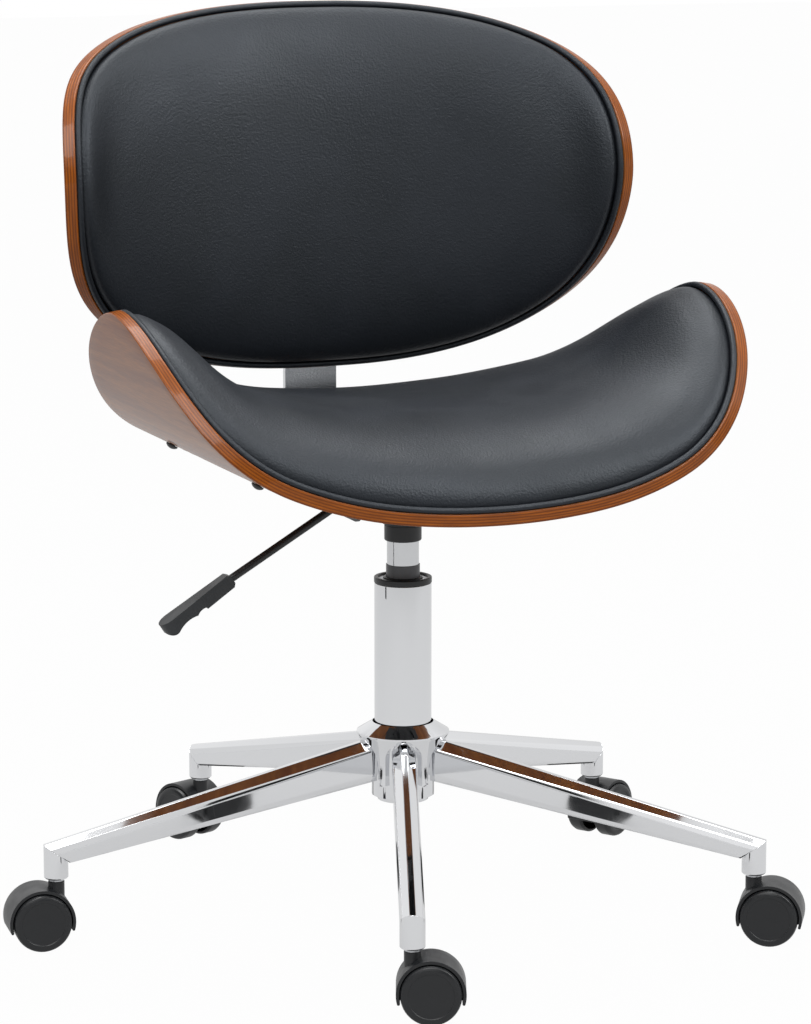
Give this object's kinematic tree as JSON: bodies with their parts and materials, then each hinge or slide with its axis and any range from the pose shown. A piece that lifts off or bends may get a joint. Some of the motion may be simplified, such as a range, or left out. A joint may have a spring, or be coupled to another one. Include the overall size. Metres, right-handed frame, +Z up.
{
  "type": "office chair",
  "caption": "Swivel office chair with bent-ply seat and back shells, padded leather-look covers, gas lift and star base on twin-wheel casters.",
  "frame": {"origin": "on the floor under the lift column's axis", "axes": "+Z up along the column, -Y the way the seat faces, +X to the viewer's right when facing the seat"},
  "size_m": [0.6684, 0.6805, 0.7897],
  "materials": {
    "black_leather": "fine-grained synthetic leather, satin",
    "walnut_ply": "walnut-veneered bent ply, clear gloss lacquer",
    "chrome": "polished chrome plate",
    "cylinder_chrome": "ground and hard-chromed",
    "plated_steel": "bright zinc plate",
    "black_steel": "semi-gloss black powder coat",
    "black_plastic": "moulded, satin",
    "grey_plastic": "moulded, smooth",
    "grip_plastic": "moulded, fine-grained",
    "caster_plastic": "moulded nylon, fine-grained",
    "bump_rubber": "plain"
  },
  "bodies": {
    "base": {"base_hub": "chrome", "base_leg_1": "chrome", "base_leg_2": "chrome", "base_leg_3": "chrome", "base_leg_4": "chrome", "base_leg_5": "chrome", "stem_sockets": "chrome", "outer_tube": "chrome", "column_cap": "black_plastic", "cap_washer": "plated_steel", "guide_bush": "grey_plastic", "thrust_bearing": "plated_steel", "caster_stem_1": "plated_steel", "caster_stem_2": "plated_steel", "caster_stem_3": "plated_steel", "caster_stem_4": "plated_steel", "caster_stem_5": "plated_steel"},
    "rod": {"piston_rod": "plated_steel", "rod_clip": "black_steel", "rod_buffer": "bump_rubber", "rod_piston": "plated_steel"},
    "upper": {"gas_cylinder": "cylinder_chrome", "rod_gland": "grey_plastic", "taper_cup": "black_steel", "seat_plate": "black_steel", "back_bar": "chrome", "back_plate": "black_steel", "seat_shell": "walnut_ply", "seat_pad": "black_leather", "seat_welt": "black_leather", "back_shell": "walnut_ply", "back_pad": "black_leather", "back_welt": "black_leather", "plate_bolts": "black_steel", "bar_bolts": "black_steel", "pad_screws": "black_steel", "lever_bush": "black_plastic"},
    "lever": {"lever_rod": "black_steel", "lever_paddle": "grip_plastic"},
    "pin": {"release_pin": "plated_steel"},
    "caster_1": {"caster_hood_1": "caster_plastic", "caster_axle_1": "plated_steel"},
    "wheel_left_1": {"wheel_left_1": "caster_plastic"},
    "wheel_right_1": {"wheel_right_1": "caster_plastic"},
    "caster_2": {"caster_hood_2": "caster_plastic", "caster_axle_2": "plated_steel"},
    "wheel_left_2": {"wheel_left_2": "caster_plastic"},
    "wheel_right_2": {"wheel_right_2": "caster_plastic"},
    "caster_3": {"caster_hood_3": "caster_plastic", "caster_axle_3": "plated_steel"},
    "wheel_left_3": {"wheel_left_3": "caster_plastic"},
    "wheel_right_3": {"wheel_right_3": "caster_plastic"},
    "caster_4": {"caster_hood_4": "caster_plastic", "caster_axle_4": "plated_steel"},
    "wheel_left_4": {"wheel_left_4": "caster_plastic"},
    "wheel_right_4": {"wheel_right_4": "caster_plastic"},
    "caster_5": {"caster_hood_5": "caster_plastic", "caster_axle_5": "plated_steel"},
    "wheel_left_5": {"wheel_left_5": "caster_plastic"},
    "wheel_right_5": {"wheel_right_5": "caster_plastic"}
  },
  "joints": [
    {"name": "seat_swivel", "type": "hinge", "parent": "base", "child": "rod", "pos_m": [0, 0, 0.113], "axis": [0, 0, 1], "continuous": true},
    {"name": "seat_lift", "type": "slide", "parent": "rod", "child": "upper", "axis": [0, 0, 1], "range_m": [-0.018, 0.082]},
    {"name": "lever_lift", "type": "hinge", "parent": "upper", "child": "lever", "pos_m": [-0.0539, 0, 0.369], "axis": [0, 1, 0], "range_deg": [0, 6], "stiffness_Nm_per_rad": 1, "springref_deg": -6.88},
    {"name": "release_pin_push", "type": "slide", "parent": "upper", "child": "pin", "axis": [0, 0, -1], "range_m": [0, 0.0062]},
    {"name": "caster_swivel_1", "type": "hinge", "parent": "base", "child": "caster_1", "pos_m": [-0.10877, -0.29563, 0.045], "axis": [0, 0, 1], "continuous": true},
    {"name": "wheel_left_roll_1", "type": "hinge", "parent": "caster_1", "child": "wheel_left_1", "pos_m": [-0.09482, -0.30115, 0.025], "axis": [0.3681, 0.9298, 0], "continuous": true},
    {"name": "wheel_right_roll_1", "type": "hinge", "parent": "caster_1", "child": "wheel_right_1", "pos_m": [-0.09482, -0.30115, 0.025], "axis": [0.3681, 0.9298, 0], "continuous": true},
    {"name": "caster_swivel_2", "type": "hinge", "parent": "base", "child": "caster_2", "pos_m": [0.24754, -0.1948, 0.045], "axis": [0, 0, 1], "continuous": true},
    {"name": "wheel_left_roll_2", "type": "hinge", "parent": "caster_2", "child": "wheel_left_2", "pos_m": [0.26032, -0.20266, 0.025], "axis": [0.524, 0.8517, 0], "continuous": true},
    {"name": "wheel_right_roll_2", "type": "hinge", "parent": "caster_2", "child": "wheel_right_2", "pos_m": [0.26032, -0.20266, 0.025], "axis": [0.524, 0.8517, 0], "continuous": true},
    {"name": "caster_swivel_3", "type": "hinge", "parent": "base", "child": "caster_3", "pos_m": [0.26176, 0.17523, 0.045], "axis": [0, 0, 1], "continuous": true},
    {"name": "wheel_left_roll_3", "type": "hinge", "parent": "caster_3", "child": "wheel_left_3", "pos_m": [0.27428, 0.18349, 0.025], "axis": [-0.5505, 0.8348, 0], "continuous": true},
    {"name": "wheel_right_roll_3", "type": "hinge", "parent": "caster_3", "child": "wheel_right_3", "pos_m": [0.27428, 0.18349, 0.025], "axis": [-0.5505, 0.8348, 0], "continuous": true},
    {"name": "caster_swivel_4", "type": "hinge", "parent": "base", "child": "caster_4", "pos_m": [-0.08577, 0.3031, 0.045], "axis": [0, 0, 1], "continuous": true},
    {"name": "wheel_left_roll_4", "type": "hinge", "parent": "caster_4", "child": "wheel_left_4", "pos_m": [-0.09173, 0.31687, 0.025], "axis": [-0.9178, -0.3971, 0], "continuous": true},
    {"name": "wheel_right_roll_4", "type": "hinge", "parent": "caster_4", "child": "wheel_right_4", "pos_m": [-0.09173, 0.31687, 0.025], "axis": [-0.9178, -0.3971, 0], "continuous": true},
    {"name": "caster_swivel_5", "type": "hinge", "parent": "base", "child": "caster_5", "pos_m": [-0.31477, 0.01209, 0.045], "axis": [0, 0, 1], "continuous": true},
    {"name": "wheel_left_roll_5", "type": "hinge", "parent": "caster_5", "child": "wheel_left_5", "pos_m": [-0.32967, 0.01382, 0.025], "axis": [-0.1149, -0.9934, 0], "continuous": true},
    {"name": "wheel_right_roll_5", "type": "hinge", "parent": "caster_5", "child": "wheel_right_5", "pos_m": [-0.32967, 0.01382, 0.025], "axis": [-0.1149, -0.9934, 0], "continuous": true}
  ],
  "couplings": [
    {"joint": "release_pin_push", "follows": "lever_lift", "m_per_rad": 0.058}
  ]
}
